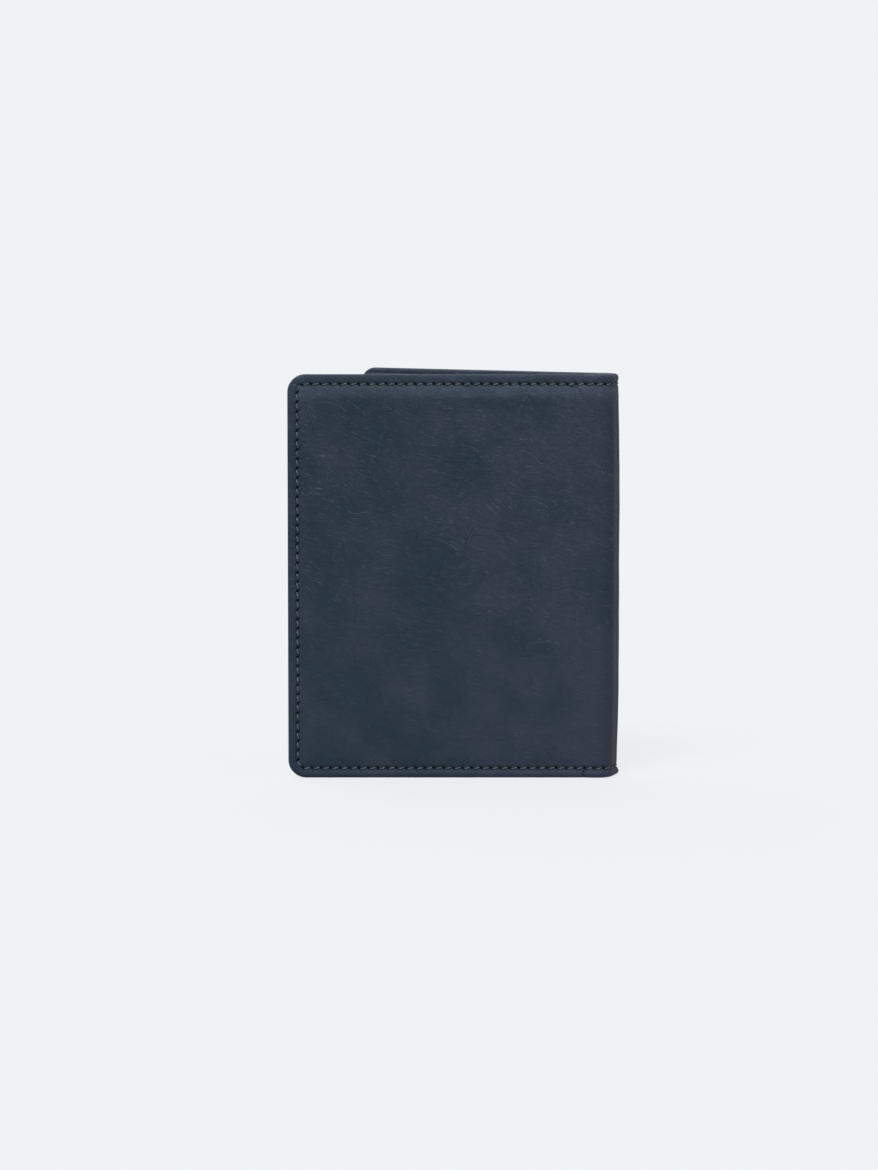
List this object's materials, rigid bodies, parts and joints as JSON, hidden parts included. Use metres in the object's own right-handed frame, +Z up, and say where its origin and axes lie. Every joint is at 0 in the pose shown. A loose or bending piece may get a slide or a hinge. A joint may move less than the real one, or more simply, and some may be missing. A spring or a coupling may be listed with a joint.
{
  "type": "card holder",
  "caption": "Bifold card holder in pebbled navy leather, standing half open like a book, with card slots and a slip pocket inside each panel.",
  "frame": {"origin": "on the surface it stands on, below the middle of the half-open holder", "axes": "+Z up along both folds, -Y out of the front panel's outer face, +X from the front panel's free edge towards the spine"},
  "size_m": [0.0822, 0.055, 0.1008],
  "materials": {
    "cover_leather": "satin",
    "slot_leather": "satin",
    "board": "matte",
    "lining_cloth": "matte",
    "tape": "matte",
    "thread": "satin"
  },
  "bodies": {
    "front_panel": {"front_cover": "cover_leather", "front_stiffener": "board", "front_lining": "lining_cloth", "front_pocket_back": "slot_leather", "front_card_slot_1": "slot_leather", "front_card_slot_2": "slot_leather", "front_slot_seams": "slot_leather", "front_stitching": "thread"},
    "spine": {"spine_cover": "cover_leather", "spine_tape": "tape", "spine_lining": "lining_cloth", "spine_stitching": "thread"},
    "rear_panel": {"rear_cover": "cover_leather", "rear_stiffener": "board", "rear_lining": "lining_cloth", "rear_pocket_back": "slot_leather", "rear_card_slot_1": "slot_leather", "rear_card_slot_2": "slot_leather", "rear_slot_seams": "slot_leather", "rear_stitching": "thread"}
  },
  "joints": [
    {"name": "front_fold", "type": "hinge", "parent": "front_panel", "child": "spine", "pos_m": [0.03786, -0.02651, 0.0504], "axis": [0, 0, -1], "range_deg": [-18, 72]},
    {"name": "rear_fold", "type": "hinge", "parent": "spine", "child": "rear_panel", "pos_m": [0.04014, -0.01949, 0.0504], "axis": [0, 0, -1], "range_deg": [-18, 72]}
  ],
  "couplings": [
    {"joint": "rear_fold", "follows": "front_fold", "ratio": 1}
  ]
}
